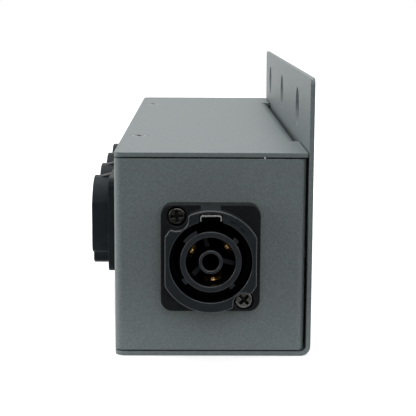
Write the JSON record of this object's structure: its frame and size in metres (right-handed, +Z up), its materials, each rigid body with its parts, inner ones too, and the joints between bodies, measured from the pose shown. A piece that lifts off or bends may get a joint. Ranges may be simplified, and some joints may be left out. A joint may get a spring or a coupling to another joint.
{
  "type": "power distribution box",
  "caption": "Sheet-steel power distribution box with a locking inlet on one end, a row of locking outlets and a drilled mounting flange.",
  "frame": {"origin": "middle of the bounding box's footprint, at the underside of the bottom plate", "axes": "+X from the outlets to the back plate and its mounting flange, +Y along the box away from the inlet, +Z up"},
  "size_m": [0.0672, 0.2238, 0.0805],
  "materials": {
    "powder_coat": "grey fine-textured powder coat, semi-matte",
    "black_plastic": "black moulded polyamide, satin",
    "gasket_rubber": "black, matte",
    "strike_steel": "bright nickel-plated steel",
    "dark_nickel": "dark nickel-plated steel",
    "contact_brass": "bright",
    "brown_wire": "smooth insulation",
    "blue_wire": "smooth insulation",
    "earth_wire": "smooth green and yellow insulation"
  },
  "bodies": {
    "root": {"chassis": "powder_coat", "base": "powder_coat", "top_cover": "powder_coat", "cover_screw_1": "dark_nickel", "cover_screw_2": "dark_nickel", "bottom_screw_1": "dark_nickel", "bottom_screw_2": "dark_nickel", "cover_flange_screw_1": "dark_nickel", "cover_flange_screw_2": "dark_nickel", "end_wall_screw_1": "dark_nickel", "end_wall_screw_2": "dark_nickel", "inlet_housing": "black_plastic", "inlet_carrier": "black_plastic", "inlet_gasket": "gasket_rubber", "inlet_latch_strike": "strike_steel", "inlet_screw_1": "dark_nickel", "inlet_screw_2": "dark_nickel", "inlet_earth_contact": "contact_brass", "inlet_live_contact": "contact_brass", "inlet_neutral_contact": "contact_brass", "outlet_1_housing": "black_plastic", "outlet_1_carrier": "black_plastic", "outlet_1_gasket": "gasket_rubber", "outlet_1_latch_strike": "strike_steel", "outlet_1_screw_1": "dark_nickel", "outlet_1_screw_2": "dark_nickel", "outlet_1_earth_contact": "contact_brass", "outlet_1_live_contact": "contact_brass", "outlet_1_neutral_contact": "contact_brass", "outlet_2_housing": "black_plastic", "outlet_2_carrier": "black_plastic", "outlet_2_gasket": "gasket_rubber", "outlet_2_latch_strike": "strike_steel", "outlet_2_screw_1": "dark_nickel", "outlet_2_screw_2": "dark_nickel", "outlet_2_earth_contact": "contact_brass", "outlet_2_live_contact": "contact_brass", "outlet_2_neutral_contact": "contact_brass", "outlet_3_housing": "black_plastic", "outlet_3_carrier": "black_plastic", "outlet_3_gasket": "gasket_rubber", "outlet_3_latch_strike": "strike_steel", "outlet_3_screw_1": "dark_nickel", "outlet_3_screw_2": "dark_nickel", "outlet_3_earth_contact": "contact_brass", "outlet_3_live_contact": "contact_brass", "outlet_3_neutral_contact": "contact_brass", "outlet_4_housing": "black_plastic", "outlet_4_carrier": "black_plastic", "outlet_4_gasket": "gasket_rubber", "outlet_4_latch_strike": "strike_steel", "outlet_4_screw_1": "dark_nickel", "outlet_4_screw_2": "dark_nickel", "outlet_4_earth_contact": "contact_brass", "outlet_4_live_contact": "contact_brass", "outlet_4_neutral_contact": "contact_brass", "live_conductor": "brown_wire", "neutral_conductor": "blue_wire", "earth_conductor": "earth_wire", "earth_stud": "strike_steel"}
  },
  "joints": []
}
